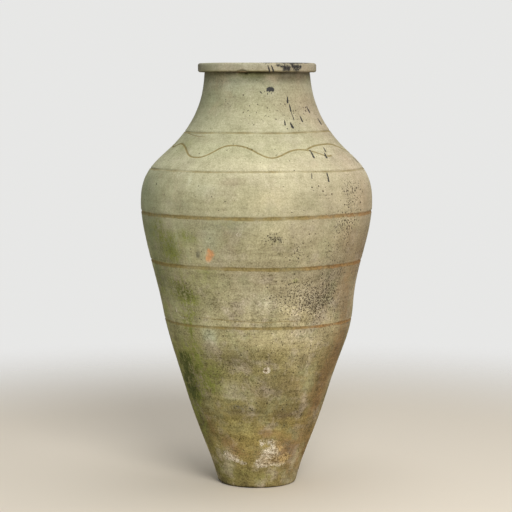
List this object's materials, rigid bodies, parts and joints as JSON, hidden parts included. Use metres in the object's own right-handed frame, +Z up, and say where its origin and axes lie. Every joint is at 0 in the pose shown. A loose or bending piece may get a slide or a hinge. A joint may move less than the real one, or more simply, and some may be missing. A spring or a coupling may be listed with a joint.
{
  "type": "storage jar",
  "caption": "Tall handleless fired-clay storage jar with a narrow foot, broad shoulder, short neck and flat rim collar, scored with lines and a hand-drawn wave.",
  "frame": {"origin": "centre of the flat underside of the foot, on the floor", "axes": "+Z up along the jar's axis; the side seen in the picture faces -Y, with its right-hand edge at +X"},
  "size_m": [0.549, 0.549, 1],
  "materials": {
    "weathered_clay": "matt, weathered",
    "mossy_clay": "matt, stained by moss and lime",
    "painted_rim_clay": "matt, rubbed, with spots of old black paint"
  },
  "bodies": {
    "root": {"base_disc": "mossy_clay", "foot_wall": "mossy_clay", "lower_body": "mossy_clay", "belly_lower": "weathered_clay", "belly_upper": "weathered_clay", "shoulder": "weathered_clay", "wave_band": "weathered_clay", "neck": "weathered_clay", "rim_collar": "painted_rim_clay"}
  },
  "joints": []
}
